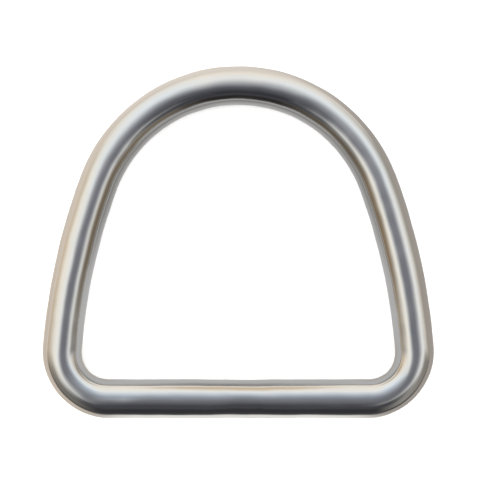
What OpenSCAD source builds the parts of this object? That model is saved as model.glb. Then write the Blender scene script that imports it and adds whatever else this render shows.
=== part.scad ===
// D ring bent from one round wire and polished all over: a straight bar along X, two rounded
// corners, two slightly bowed legs that lean inwards, and a round crown towards +Y.
// It lies flat with its underside on Z = 0. The origin is under the middle of its outline.

/* [Wire] */
// Diameter of the round wire
wire_d = 5; // [4:0.5:6]

/* [Opening] */
// Widest gap between the legs, just above the corners: the width of the strap it takes
opening_w = 40; // [39:1:44]
// Gap from the bar to the top of the crown
opening_h = 35; // [33:1:36]

/* [Bends] */
// Inside radius of the crown
crown_inner_r = 16.5; // [15.5:0.5:17]
// Inside radius of the bowed legs
leg_inner_r = 77; // [70:1:120]
// Inside radius of the two corners at the ends of the bar
corner_inner_r = 3.5; // [3:0.1:5]

/* [Hidden] */
$fn = 96;

wire_r = wire_d / 2;

// Radii of the bends along the middle of the wire
crown_r = crown_inner_r + wire_r;
leg_r = leg_inner_r + wire_r;
corner_r = corner_inner_r + wire_r;

// The middle of the wire reaches this far from the origin, to the sides and to the bar and the crown
reach_x = opening_w / 2 + wire_r;
reach_y = opening_h / 2 + wire_r;

// Centres of the crown's bend and of the right corner's bend
crown_centre = [0, reach_y - crown_r];
corner_centre = [reach_x - corner_r, corner_r - reach_y];

// Centre of a circle that holds two smaller circles inside it and touches both of them.
// Its centre is the one to the right of the way from centre_1 to centre_2.
function centre_around(r, centre_1, r_1, centre_2, r_2) =
    let (
        gap_1 = r - r_1,
        gap_2 = r - r_2,
        span = norm(centre_2 - centre_1),
        along = (centre_2 - centre_1) / span,
        across = [along.y, -along.x],
        run = (gap_1 * gap_1 - gap_2 * gap_2 + span * span) / (2 * span)
    )
    centre_1 + run * along + sqrt(gap_1 * gap_1 - run * run) * across;

leg_centre = centre_around(leg_r, crown_centre, crown_r, corner_centre, corner_r);

// Two bends meet smoothly on the line through their centres, so those lines give the angles of the joins
function angle_towards(from, to) = atan2(to.y - from.y, to.x - from.x);

crown_join = angle_towards(leg_centre, crown_centre);
corner_join = angle_towards(leg_centre, corner_centre);

// How far the wire turns in each bend, on the way from the bar to the top of the crown
corner_turn = 90 + corner_join;
leg_turn = crown_join - corner_join;
half_crown_turn = 90 - crown_join;

// Each bend is drawn this much too long at both ends and cut square there, so that bends meet exactly
spare = 0.02;
function spare_turn(r) = spare / r * 180 / PI;

// Block that cuts off the wire behind a cross-section, with room around it
module behind() {
    translate([-wire_d, -wire_d, -wire_d])
        cube([wire_d, 2 * wire_d, 2 * wire_d]);
}

module ahead() {
    mirror([1, 0]) behind();
}

// Places its children at the end of a bend, where the wire goes on along +X
module at_bend_end(r, turn) {
    translate([0, r])
        rotate(turn)
            translate([0, -r])
                children();
}

// Wire that sets off along +X and turns left through an angle. The children go on from its end.
module bend(r, turn) {
    difference() {
        translate([0, r])
            rotate_extrude(start = -90 - spare_turn(r), angle = turn + 2 * spare_turn(r))
                translate([r, 0])
                    circle(wire_r);
        behind();
        at_bend_end(r, turn) ahead();
    }
    at_bend_end(r, turn) children();
}

module bar() {
    translate([-corner_centre.x, 0])
        rotate([0, 90, 0])
            cylinder(r = wire_r, h = 2 * corner_centre.x);
}

// Corner, leg and half of the crown, from the right end of the bar.
// The crown is drawn just past its top and cut there.
module right_half() {
    difference() {
        translate([corner_centre.x, 0])
            bend(corner_r, corner_turn)
                bend(leg_r, leg_turn)
                    bend(crown_r, half_crown_turn + spare_turn(crown_r));
        translate([0, 2 * reach_y]) behind();
    }
}

module d_ring() {
    color("silver")
        translate([0, -reach_y, wire_r]) {
            bar();
            right_half();
            mirror([1, 0]) right_half();
        }
}

d_ring();
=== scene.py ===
import math

import bpy
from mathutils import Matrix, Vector


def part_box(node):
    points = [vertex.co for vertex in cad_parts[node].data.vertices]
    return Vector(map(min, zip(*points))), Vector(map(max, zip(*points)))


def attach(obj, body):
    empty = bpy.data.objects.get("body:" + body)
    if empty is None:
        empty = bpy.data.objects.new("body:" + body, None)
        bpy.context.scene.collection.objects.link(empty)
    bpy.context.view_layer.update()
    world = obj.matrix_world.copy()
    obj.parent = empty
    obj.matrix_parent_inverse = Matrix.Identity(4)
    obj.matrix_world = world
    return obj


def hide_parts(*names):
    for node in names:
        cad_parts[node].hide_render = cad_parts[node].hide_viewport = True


# D ring bent from round stainless wire and polished all over, lying flat on a pale table top
# and seen from straight above. The camera's picture is square.

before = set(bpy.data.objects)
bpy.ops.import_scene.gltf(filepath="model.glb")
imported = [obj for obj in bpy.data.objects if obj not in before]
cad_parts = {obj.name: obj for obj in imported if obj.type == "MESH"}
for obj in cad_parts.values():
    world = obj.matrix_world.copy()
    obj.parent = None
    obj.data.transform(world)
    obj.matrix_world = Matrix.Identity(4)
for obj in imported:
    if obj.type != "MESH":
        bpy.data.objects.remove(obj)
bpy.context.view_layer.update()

mm = 0.001
scene = bpy.context.scene

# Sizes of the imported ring
low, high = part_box("d_ring")
wire_r = (high.z - low.z) / 2
reach_x = (high.x - low.x) / 2 - wire_r
reach_y = (high.y - low.y) / 2 - wire_r
middle = (low + high) / 2

# Bends along the middle of the wire
crown_r = 16.5 * mm + wire_r
leg_r = 77 * mm + wire_r
corner_r = 3.5 * mm + wire_r

# Points of the path and sides of the round section
path_step = 0.25 * mm
wire_sides = 96

# The table top, and a glowing layer just above it that only the steel reflects, with a painted
# reflection of the table in painted light and shade
table_half = 1.6
layer_gap = 0.02 * mm

# Way to the light, level with the table: far off to the left, on the crown's side
to_light = (-0.5, 0.87, 0)


# The wire's path

def arc(centre, radius, start, turn):
    """Points along an arc that turns left, without its last point."""
    count = max(2, round(abs(turn) * radius / path_step))
    angles = [start + turn * i / count for i in range(count)]
    return [centre + radius * Vector((math.cos(a), math.sin(a))) for a in angles]


def centre_around(radius, centre_1, r_1, centre_2, r_2):
    """Centre of a circle that holds two smaller circles inside it and touches both of them."""
    gap_1 = radius - r_1
    gap_2 = radius - r_2
    span = (centre_2 - centre_1).length
    along = (centre_2 - centre_1) / span
    across = Vector((along.y, -along.x))
    run = (gap_1**2 - gap_2**2 + span**2) / (2 * span)
    return centre_1 + run * along + math.sqrt(gap_1**2 - run**2) * across


def towards(start, end):
    """Angle of the way from one point to another."""
    return math.atan2(end.y - start.y, end.x - start.x)


def ring_path():
    """Points round the ring, from the middle of the bar to the right and back, the last on the first."""
    crown_centre = Vector((0, reach_y - crown_r))
    corner_centre = Vector((reach_x - corner_r, corner_r - reach_y))
    leg_centre = centre_around(leg_r, crown_centre, crown_r, corner_centre, corner_r)
    crown_join = towards(leg_centre, crown_centre)
    corner_join = towards(leg_centre, corner_centre)
    count = round(corner_centre.x / path_step)
    half = [Vector((corner_centre.x * i / count, -reach_y)) for i in range(count)]
    half += arc(corner_centre, corner_r, -math.pi / 2, math.pi / 2 + corner_join)
    half += arc(leg_centre, leg_r, corner_join, crown_join - corner_join)
    half += arc(crown_centre, crown_r, crown_join, math.pi / 2 - crown_join)
    top = Vector((0, reach_y))
    other_half = [Vector((-p.x, p.y)) for p in reversed(half)]
    return [Vector((p.x + middle.x, p.y + middle.y, middle.z)) for p in half + [top] + other_half]


# Node helpers

def add(tree, kind, values=None, **settings):
    """A new node, with its settings, and its inputs set or linked."""
    node = tree.nodes.new(kind)
    for name, value in settings.items():
        setattr(node, name, value)
    for name, value in (values or {}).items():
        put(tree, value, node.inputs[name])
    return node


def put(tree, value, socket):
    """Links an input to another node's output, or sets it to a plain value."""
    if isinstance(value, bpy.types.NodeSocket):
        tree.links.new(value, socket)
    else:
        socket.default_value = value


def maths(tree, operation, *values):
    node = add(tree, "ShaderNodeMath", dict(enumerate(values)), operation=operation)
    return node.outputs[0]


def product(tree, value_1, value_2):
    return maths(tree, "MULTIPLY", value_1, value_2)


def gap(tree, value, place):
    """How far a value is from a place, on either side of it."""
    return maths(tree, "ABSOLUTE", maths(tree, "SUBTRACT", value, place))


def vector_node(tree, operation, *values):
    return add(tree, "ShaderNodeVectorMath", dict(enumerate(values)), operation=operation)


def vector_maths(tree, operation, *values):
    return vector_node(tree, operation, *values).outputs["Vector"]


def measured(tree, operation, *values):
    """A number worked out from vectors: a length, a distance or a dot product."""
    return vector_node(tree, operation, *values).outputs["Value"]


def scaled(tree, vector, factor):
    node = add(tree, "ShaderNodeVectorMath", {0: vector, "Scale": factor}, operation="SCALE")
    return node.outputs["Vector"]


def split(tree, vector):
    """The X, Y and Z of a vector."""
    return list(add(tree, "ShaderNodeSeparateXYZ", {0: vector}).outputs)


def smooth(tree, value, start, end, low_value=0.0, high_value=1.0):
    """Goes smoothly from one value to another as an input goes from start to end."""
    values = {"Value": value, "From Min": start, "From Max": end,
              "To Min": low_value, "To Max": high_value}
    node = add(tree, "ShaderNodeMapRange", values, interpolation_type="SMOOTHSTEP")
    return node.outputs["Result"]


def mixed(tree, factor, colour_1, colour_2):
    """Blend of two colours, each a plain colour or a socket."""
    node = add(tree, "ShaderNodeMix", {"Factor": factor}, data_type="RGBA")
    for name, colour in (("A", colour_1), ("B", colour_2)):
        put(tree, (*colour, 1) if isinstance(colour, tuple) else colour, node.inputs[name])
    return node.outputs["Result"]


def new_finish(name):
    """A new material with its plain shader, and its nodes."""
    mat = bpy.data.materials.new(name)
    mat.use_nodes = True
    return mat, mat.node_tree


def bare_finish(name):
    """A new material with no shader yet, its nodes, and the place on the piece."""
    mat, tree = new_finish(name)
    tree.nodes.clear()
    return mat, tree, add(tree, "ShaderNodeTexCoord").outputs["Object"]


def show(tree, surface):
    add(tree, "ShaderNodeOutputMaterial", {"Surface": surface})


# The wire swept along its path, by Geometry Nodes

def wire_tree():
    """The nodes that sweep the wire, and the sizes that they are given by name."""
    tree = bpy.data.node_groups.new("bent_wire", "GeometryNodeTree")
    face = tree.interface
    face.new_socket("Geometry", in_out="INPUT", socket_type="NodeSocketGeometry")
    sizes = {
        "Wire radius": wire_r,
        "Corner place": 21.4 * mm,
        "Corner reach": 5.5 * mm,
        "Corner thinning": 0.04,
        "Weld reach": 6.0 * mm,
        "Weld unevenness": 0.8,
        "Waviness": 0.05 * mm,
        "Wave length": 4.5 * mm,
    }
    for name in sizes:
        face.new_socket(name, in_out="INPUT", socket_type="NodeSocketFloat")
    face.new_socket("Sides", in_out="INPUT", socket_type="NodeSocketInt")
    face.new_socket("Finish", in_out="INPUT", socket_type="NodeSocketMaterial")
    face.new_socket("Geometry", in_out="OUTPUT", socket_type="NodeSocketGeometry")
    given = add(tree, "NodeGroupInput").outputs

    # Length from the weld, the middle of the wire and its run, kept for each point of the path
    path = add(tree, "GeometryNodeMeshToCurve", {"Mesh": given["Geometry"]}).outputs["Curve"]
    path = add(tree, "GeometryNodeSetCurveNormal", {"Curve": path}, mode="Z_UP").outputs["Curve"]
    keep = add(tree, "GeometryNodeCaptureAttribute", {"Geometry": path}, domain="POINT")
    for kind, name in (("FLOAT", "length"), ("FLOAT", "total"), ("VECTOR", "middle"), ("VECTOR", "run")):
        keep.capture_items.new(kind, name)
    put(tree, add(tree, "GeometryNodeSplineParameter").outputs["Length"], keep.inputs["length"])
    put(tree, add(tree, "GeometryNodeSplineLength").outputs["Length"], keep.inputs["total"])
    put(tree, add(tree, "GeometryNodeInputPosition").outputs[0], keep.inputs["middle"])
    put(tree, add(tree, "GeometryNodeInputTangent").outputs[0], keep.inputs["run"])
    kept = keep.outputs

    section = add(tree, "GeometryNodeCurvePrimitiveCircle",
                  {"Resolution": given["Sides"], "Radius": given["Wire radius"]}).outputs["Curve"]
    tube = add(tree, "GeometryNodeCurveToMesh",
               {"Curve": kept["Geometry"], "Profile Curve": section}).outputs["Mesh"]

    # Way from the middle of the wire to its surface, and its share in the ring's plane
    place = add(tree, "GeometryNodeInputPosition").outputs[0]
    spoke = vector_maths(tree, "SUBTRACT", place, kept["middle"])
    flat = vector_maths(tree, "MULTIPLY", spoke, (1, 1, 0))
    other_way = maths(tree, "SUBTRACT", kept["total"], kept["length"])
    from_weld = maths(tree, "MINIMUM", kept["length"], other_way)

    # Bending has drawn the wire a little thinner in the corners
    off_corner = gap(tree, from_weld, given["Corner place"])
    thinning = smooth(tree, off_corner, 0.0, given["Corner reach"], given["Corner thinning"], 0.0)
    squeeze = scaled(tree, flat, product(tree, thinning, -1.0))

    # Polishing has left the surface slightly wavy, and more so where the weld was ground off
    wave_scale = maths(tree, "DIVIDE", 1.0, given["Wave length"])
    waves = add(tree, "ShaderNodeTexNoise",
                {"Vector": place, "Scale": wave_scale, "Detail": 1.0, "Roughness": 0.4}).outputs[0]
    at_weld = maths(tree, "ADD", 1.0, given["Weld unevenness"])
    uneven = smooth(tree, from_weld, given["Weld reach"], 0.0, 1.0, at_weld)
    hollow = product(tree, smooth(tree, waves, 0.25, 0.75), given["Waviness"])
    sunk = product(tree, product(tree, hollow, uneven), -1.0)
    sink = scaled(tree, vector_maths(tree, "NORMALIZE", spoke), sunk)

    shift = vector_maths(tree, "ADD", squeeze, sink)
    moved = add(tree, "GeometryNodeSetPosition",
                {"Geometry": tube, "Offset": shift}).outputs["Geometry"]

    # Length round the ring, and place across the wire outwards and upwards, for the finish. The last
    # stretch runs on to the full length at the weld, so it is kept by the corners of the faces.
    outward = vector_maths(tree, "CROSS_PRODUCT", kept["run"], (0, 0, 1))
    across = measured(tree, "DOT_PRODUCT", spoke, outward)
    upward = split(tree, spoke)[2]
    wire_place = add(tree, "ShaderNodeCombineXYZ",
                     {"X": kept["length"], "Y": across, "Z": upward}).outputs[0]
    named = add(tree, "GeometryNodeStoreNamedAttribute",
                {"Geometry": moved, "Name": "wire", "Value": wire_place},
                data_type="FLOAT_VECTOR", domain="CORNER").outputs["Geometry"]
    closed = add(tree, "GeometryNodeMergeByDistance",
                 {"Geometry": named, "Distance": 0.001 * mm}).outputs["Geometry"]
    shaded = add(tree, "GeometryNodeSetShadeSmooth", {"Geometry": closed}).outputs["Geometry"]
    real = add(tree, "GeometryNodeRealizeInstances", {"Geometry": shaded}).outputs["Geometry"]
    done = add(tree, "GeometryNodeSetMaterial", {"Geometry": real, "Material": given["Finish"]})
    add(tree, "NodeGroupOutput", {"Geometry": done.outputs["Geometry"]})
    return tree, sizes


def swept_ring(finish):
    """The ring as a plain mesh."""
    points = ring_path()
    edges = [(i, i + 1) for i in range(len(points) - 1)]
    line = bpy.data.meshes.new("ring_path")
    line.from_pydata(points, edges, [])
    ring = bpy.data.objects.new("polished_d_ring", line)
    scene.collection.objects.link(ring)
    tree, sizes = wire_tree()
    bend = ring.modifiers.new("bent_wire", "NODES")
    bend.node_group = tree
    sockets = {s.name: s.identifier for s in tree.interface.items_tree if s.in_out == "INPUT"}
    for name, value in sizes.items():
        bend[sockets[name]] = value
    bend[sockets["Sides"]] = wire_sides
    bend[sockets["Finish"]] = finish
    graph = bpy.context.evaluated_depsgraph_get()
    swept = ring.evaluated_get(graph)
    mesh = bpy.data.meshes.new_from_object(swept, preserve_all_data_layers=True, depsgraph=graph)
    ring.modifiers.remove(bend)
    ring.data = mesh
    mesh.name = "polished_d_ring"
    return ring


# Finishes

def polished_steel():
    """Mirror polish with fine buffing lines along the wire and a slightly cloudy gloss."""
    light_steel = (0.735, 0.73, 0.715)
    dark_steel = (0.685, 0.68, 0.67)
    lines_per_metre = (150, 5000, 5000)
    clouds_per_metre = 260.0
    mat, tree = new_finish("polished_stainless_steel")
    shader = tree.nodes["Principled BSDF"]
    wire = add(tree, "ShaderNodeAttribute", attribute_name="wire").outputs["Vector"]

    # Buffing lines run along the wire, about 7 mm long and 0.2 mm wide. Clouds are about 4 mm across.
    lines_at = add(tree, "ShaderNodeMapping", {"Vector": wire, "Scale": lines_per_metre}).outputs[0]
    lines = add(tree, "ShaderNodeTexNoise",
                {"Vector": lines_at, "Scale": 1.0, "Detail": 3.0}).outputs[0]
    clouds = add(tree, "ShaderNodeTexNoise",
                 {"Vector": wire, "Scale": clouds_per_metre, "Detail": 4.0}).outputs[0]

    # Roughness of 0.06 to 0.11 from line to line, and up to 0.05 more in the clouds
    line_roughness = smooth(tree, lines, 0.3, 0.75, 0.06, 0.11)
    cloud_roughness = smooth(tree, clouds, 0.35, 0.7, 0.0, 0.05)
    put(tree, maths(tree, "ADD", line_roughness, cloud_roughness), shader.inputs["Roughness"])
    put(tree, mixed(tree, clouds, light_steel, dark_steel), shader.inputs["Base Color"])
    shader.inputs["Metallic"].default_value = 1.0
    bump = add(tree, "ShaderNodeBump", {"Height": lines, "Strength": 0.05, "Distance": 0.02 * mm})
    put(tree, bump.outputs[0], shader.inputs["Normal"])
    return mat


def pale_paper():
    """White paper with a faint grain of about a millimetre."""
    white_1 = (0.90, 0.90, 0.895)
    white_2 = (0.93, 0.93, 0.925)
    grain_per_metre = 900.0
    mat, tree = new_finish("pale_paper")
    shader = tree.nodes["Principled BSDF"]
    place = add(tree, "ShaderNodeTexCoord").outputs["Object"]
    grain = add(tree, "ShaderNodeTexNoise",
                {"Vector": place, "Scale": grain_per_metre, "Detail": 4.0}).outputs[0]
    put(tree, mixed(tree, grain, white_1, white_2), shader.inputs["Base Color"])
    shader.inputs["Roughness"].default_value = 0.8
    shader.inputs["Specular IOR Level"].default_value = 0.1
    return mat


def painted_table_reflection():
    """Painted reflection of the table top, a glowing layer that only the steel sees: painted shade in
    grey inside the ring, painted light and shade from brown at its right corner to beige at the left of
    its crown, a painted bright patch beside the bar and painted dark shade far beyond it."""
    brown = (0.45, 0.414, 0.38)
    beige = (0.957, 0.875, 0.79)
    left_beige = (0.85, 0.74, 0.63)
    almost_white = (1.0, 0.98, 0.95)
    almost_black = (0.07, 0.07, 0.075)
    middle_grey = (0.30, 0.295, 0.285)
    inner_grey = (0.58, 0.58, 0.585)
    mat, tree, place = bare_finish("painted_table_reflection")
    x, y, _ = split(tree, place)

    # Outside the ring: painted light and shade, lighter towards the light, then beside the left leg,
    # beside the bar and far off, where the painted shade is dark
    lit = smooth(tree, measured(tree, "DOT_PRODUCT", place, to_light), 4 * mm, 28 * mm)
    outside = mixed(tree, lit, brown, beige)
    at_left = smooth(tree, x, -14 * mm, -27 * mm, 0.0, 0.75)
    outside = mixed(tree, at_left, outside, left_beige)
    beside_bar = product(tree, smooth(tree, y, -17 * mm, -23 * mm),
                         smooth(tree, maths(tree, "ABSOLUTE", x), 22 * mm, 13 * mm))
    outside = mixed(tree, beside_bar, outside, almost_white)
    far_off = smooth(tree, y, -30 * mm, -44 * mm)
    outside = mixed(tree, far_off, outside, almost_black)

    # Inside the ring: painted shade, darkest in a rounded patch near its middle
    stretched = vector_maths(tree, "MULTIPLY", place, (0.8, 1, 0))
    off_patch = measured(tree, "DISTANCE", stretched, (-1 * mm, 3 * mm, 0))
    inside = mixed(tree, smooth(tree, off_patch, 3 * mm, 16 * mm), middle_grey, inner_grey)

    # Inside gives way to outside under the wire
    under_wire = smooth(tree, measured(tree, "LENGTH", place), 20 * mm, 26 * mm)
    tone = mixed(tree, under_wire, inside, outside)
    # It glows, so the painted light and shade show in the steel without any lamp
    show(tree, add(tree, "ShaderNodeEmission", {"Color": tone}).outputs[0])
    return mat


# The pieces

steel = polished_steel()
ring = swept_ring(steel)
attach(ring, "root")
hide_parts("d_ring")
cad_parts["d_ring"].data.materials.clear()
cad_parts["d_ring"].data.materials.append(steel)


# The table top, and other flat pieces of the stage

def flat_piece(name, finish, edges, height, facing_down=False):
    """Flat piece with its left, right, back and front edges, at a height."""
    left, right, back, front = edges
    corners = [(left, back, height), (right, back, height),
               (right, front, height), (left, front, height)]
    face = (3, 2, 1, 0) if facing_down else (0, 1, 2, 3)
    mesh = bpy.data.meshes.new(name)
    mesh.from_pydata(corners, [], [face])
    mesh.materials.append(finish)
    piece = bpy.data.objects.new(name, mesh)
    scene.collection.objects.link(piece)
    return piece


def show_only_in_steel(piece):
    piece.visible_camera = False
    piece.visible_diffuse = False
    piece.visible_shadow = False


def table_top(name, finish, height):
    edges = (-table_half, table_half, -table_half, table_half)
    table = flat_piece(name, finish, edges, height)
    return table


table = table_top("table_top", pale_paper(), low.z)
table.visible_glossy = False
# Glowing layer with the painted reflection of the table, its painted light and shade, seen only in the
# steel
painted_reflection_layer = table_top("painted_table_reflection_layer", painted_table_reflection(), low.z + layer_gap)
show_only_in_steel(painted_reflection_layer)


# The light: a bright white room, with the dark camera high over the ring and its holder towards the bar;
# a glowing card with the painted reflection of the camera, and a sheet with painted shade and tint in
# the steel

def white_room():
    """Tones of the room, by the way in which the steel looks at it."""
    brightness = 1.2
    plain_white = (0.9, 0.9, 0.9)
    away_from_light = (0.09, 0.08, 0.065)
    low_brown = (0.23, 0.12, 0.01)
    warm_tint = (1.05, 1.0, 0.92)
    cool_tint = (0.95, 1.0, 1.06)
    to_holder = (-0.2, -0.98, 0)
    holder_low = (0.055, 0.055, 0.057)
    holder_high = (0.036, 0.036, 0.040)
    holder_right = (0.29, 0.28, 0.26)
    holder_left = (0.18, 0.17, 0.155)
    world = bpy.data.worlds.new("white_room")
    scene.world = world
    world.use_nodes = True
    tree = world.node_tree
    sky = tree.nodes["Background"]
    way = vector_maths(tree, "NORMALIZE", add(tree, "ShaderNodeTexCoord").outputs["Generated"])
    x, y, z = split(tree, way)
    level = vector_maths(tree, "NORMALIZE", vector_maths(tree, "MULTIPLY", way, (1, 1, 0)))
    side = split(tree, level)[0]

    # How a mirror ball seen from above shows the room: straight up at 0, the horizon at 0.7.
    # The white turns a little warmer and darker on the way down.
    ball = maths(tree, "SQRT", maths(tree, "MULTIPLY_ADD", z, -0.5, 0.5))
    ramp = add(tree, "ShaderNodeValToRGB", {"Fac": ball})
    stops = [(0.0, (0.87, 0.89, 0.88)), (0.36, (0.89, 0.90, 0.89)), (0.46, (0.92, 0.91, 0.88)),
             (0.55, (0.94, 0.90, 0.83)), (0.62, (0.91, 0.85, 0.76)), (0.70, (0.86, 0.79, 0.69))]
    while len(ramp.color_ramp.elements) < len(stops):
        ramp.color_ramp.elements.new(0.5)
    for stop, (at, colour) in zip(ramp.color_ramp.elements, stops):
        stop.position = at
        stop.color = (*colour, 1)
    colour = ramp.outputs["Color"]

    # The low part of the room away from the light is darker, above all in a nook straight opposite it
    facing = measured(tree, "DOT_PRODUCT", level, to_light)
    wall = product(tree, smooth(tree, z, 0.75, 0.05), smooth(tree, facing, 0.6, -0.1, 0.0, 0.66))
    nook = product(tree, smooth(tree, z, 0.8, 0.42), smooth(tree, facing, -0.35, -0.7, 0.0, 0.82))
    colour = mixed(tree, maths(tree, "MAXIMUM", wall, nook), colour, away_from_light)

    # Low on the left it is a little brown
    low_left = product(tree, smooth(tree, z, 0.65, 0.2), smooth(tree, side, -0.7, -0.95, 0.0, 0.34))
    colour = mixed(tree, low_left, colour, low_brown)

    # Its left side is warm, and the parts past the shoulders of the crown are cool
    warm = product(tree, smooth(tree, z, 0.95, 0.75), smooth(tree, side, -0.6, -0.95))
    colour = mixed(tree, warm, colour, vector_maths(tree, "MULTIPLY", colour, warm_tint))
    slanting = measured(tree, "DOT_PRODUCT", vector_maths(tree, "ABSOLUTE", level), (0.7, 0.71, 0))
    cool = product(tree, smooth(tree, slanting, 0.8, 0.98), smooth(tree, y, 0.0, 0.1))
    colour = mixed(tree, cool, colour, vector_maths(tree, "MULTIPLY", colour, cool_tint))

    # The camera's holder stands on the side of the bar, darkest in its middle
    behind = measured(tree, "DOT_PRODUCT", level, to_holder)
    dark = product(tree, smooth(tree, z, 0.80, 0.50), smooth(tree, behind, -0.1, 0.9))
    holder = mixed(tree, smooth(tree, z, 0.12, 0.0), holder_high, holder_low)
    holder = mixed(tree, smooth(tree, x, 0.2, 0.65), holder, holder_right)
    holder = mixed(tree, smooth(tree, x, -0.2, -0.65), holder, holder_left)
    colour = mixed(tree, dark, colour, holder)

    # Only reflections and the light on the table show it, and behind the table it is plain white
    seen = add(tree, "ShaderNodeLightPath").outputs["Is Camera Ray"]
    put(tree, mixed(tree, seen, colour, plain_white), sky.inputs["Color"])
    sky.inputs["Strength"].default_value = brightness


def painted_camera_reflection():
    """Dark glowing card high over the ring with soft edges, which shows only in reflections: a painted
    reflection of the camera over the middle, and of its holder, wider and darker, towards the bar."""
    card_height = 280 * mm
    card_edges = (-460 * mm, 460 * mm, -460 * mm, 300 * mm)
    left_flare = 0.3
    right_taper = 0.25
    crown_side_taper = 0.05
    front_flare = 0.45
    camera_grey = (0.240, 0.250, 0.287)
    holder_grey = (0.069, 0.070, 0.083)
    mat, tree, place = bare_finish("painted_camera_reflection")
    x, y, _ = split(tree, place)

    def block(left, right, front):
        wide = product(tree, smooth(tree, *left), smooth(tree, *right))
        return product(tree, wide, smooth(tree, *front))

    # Towards the bar and the crown the painted reflection of the camera reaches further to the left and
    # less far to the right, and on the right it reaches further past the crown
    off_middle = maths(tree, "ABSOLUTE", y)
    x_left = maths(tree, "MULTIPLY_ADD", off_middle, left_flare, x)
    x_right = maths(tree, "MULTIPLY_ADD", maths(tree, "MAXIMUM", y, 0.0), crown_side_taper, x)
    x_right = maths(tree, "MULTIPLY_ADD", off_middle, right_taper, x_right)
    y_front = maths(tree, "MULTIPLY_ADD", maths(tree, "MAXIMUM", x, 0.0), -front_flare, y)
    over_ring = block((x_left, -150 * mm, -5 * mm), (x_right, 320 * mm, 75 * mm),
                      (y_front, 255 * mm, -50 * mm))
    holder = block((x, -390 * mm, -110 * mm), (x, 400 * mm, 130 * mm), (y, -60 * mm, -265 * mm))
    mask = maths(tree, "MAXIMUM", over_ring, holder)
    # Painted reflection: grey for the camera, darker towards its holder
    tone = mixed(tree, smooth(tree, y, 30 * mm, -230 * mm), camera_grey, holder_grey)
    clear = add(tree, "ShaderNodeBsdfTransparent").outputs[0]
    glow = add(tree, "ShaderNodeEmission", {"Color": tone}).outputs[0]
    show(tree, add(tree, "ShaderNodeMixShader", {0: mask, 1: clear, 2: glow}).outputs[0])

    card = flat_piece("painted_camera_reflection", mat, card_edges, card_height, facing_down=True)
    show_only_in_steel(card)


def painted_shade_and_tint_sheet():
    """Small clear sheet low over the ring, which shows only in reflections and paints shade and tint
    into them:
    painted warm shade in amber over the opening, where the inner sides of the ring look through it,
    painted grey shade over the crown and a faint painted blue tint along the bar."""
    sheet_height = 9 * mm
    sheet_edges = (-20 * mm, 20 * mm, -20 * mm, 20 * mm)
    no_tint = (1.0, 1.0, 1.0)
    amber_tint = (0.72, 0.62, 0.50)
    grey_tint = (0.60, 0.61, 0.62)
    blue_tint = (0.86, 0.92, 1.0)
    mat, tree, place = bare_finish("painted_shade_and_tint_sheet")
    x, y, _ = split(tree, place)
    off_middle = maths(tree, "ABSOLUTE", x)

    # A round amber patch of painted warm shade, cut off below the crown
    flattened = vector_maths(tree, "MULTIPLY", place, (1, 1.2, 0))
    off_patch = measured(tree, "DISTANCE", flattened, (0, -1 * mm, 0))
    amber = product(tree, smooth(tree, off_patch, 17 * mm, 8 * mm), smooth(tree, y, 10 * mm, 6 * mm))
    tint = mixed(tree, amber, no_tint, amber_tint)

    # A short grey strip of painted shade along the inner side of the crown
    grey = product(tree, smooth(tree, gap(tree, y, 16 * mm), 4.5 * mm, 1.5 * mm),
                   smooth(tree, off_middle, 14 * mm, 8 * mm))
    tint = mixed(tree, grey, tint, grey_tint)

    # A blue strip of painted cool tint on the reflections along the inner side of the bar
    blue = product(tree, smooth(tree, gap(tree, y, -17 * mm), 3 * mm, 1.5 * mm),
                   smooth(tree, off_middle, 20 * mm, 17.5 * mm))
    tint = mixed(tree, blue, tint, blue_tint)
    # The sheet's tint is painted shade and tint that only the steel's reflections pass through
    show(tree, add(tree, "ShaderNodeBsdfTransparent", {"Color": tint}).outputs[0])

    sheet = flat_piece("painted_shade_and_tint_sheet", mat, sheet_edges, sheet_height)
    show_only_in_steel(sheet)


def soft_box(name, place, size, power):
    """Large lamp that faces the ring. It lights the table top and doesn't show in the steel."""
    light = bpy.data.lights.new(name, "AREA")
    light.shape = "SQUARE"
    light.size = size
    light.energy = power
    lamp = bpy.data.objects.new(name, light)
    scene.collection.objects.link(lamp)
    lamp.location = place
    lamp.rotation_euler = (middle - Vector(place)).to_track_quat("-Z", "Y").to_euler()
    lamp.visible_glossy = False


white_room()
painted_camera_reflection()
painted_shade_and_tint_sheet()
soft_box("overhead_lamp", place=(-0.05, 0.05, 0.6), size=1.2, power=11.0)


# The camera

def camera():
    """Looks straight down, a little off the ring's middle. Its picture is shown_width wide at the
    height of the wire's middle."""
    shown_width = 61.3 * mm
    off_x = 0.21 * mm
    off_y = 0.27 * mm
    lens = bpy.data.cameras.new("camera")
    lens.sensor_width = 36
    lens.lens = 105
    height = shown_width * lens.lens / lens.sensor_width
    eye = bpy.data.objects.new("camera", lens)
    scene.collection.objects.link(eye)
    eye.location = (middle.x + off_x, middle.y + off_y, middle.z + height)
    lens.clip_start = 0.01
    lens.clip_end = 10
    scene.camera = eye


camera()
scene.view_settings.view_transform = "Standard"
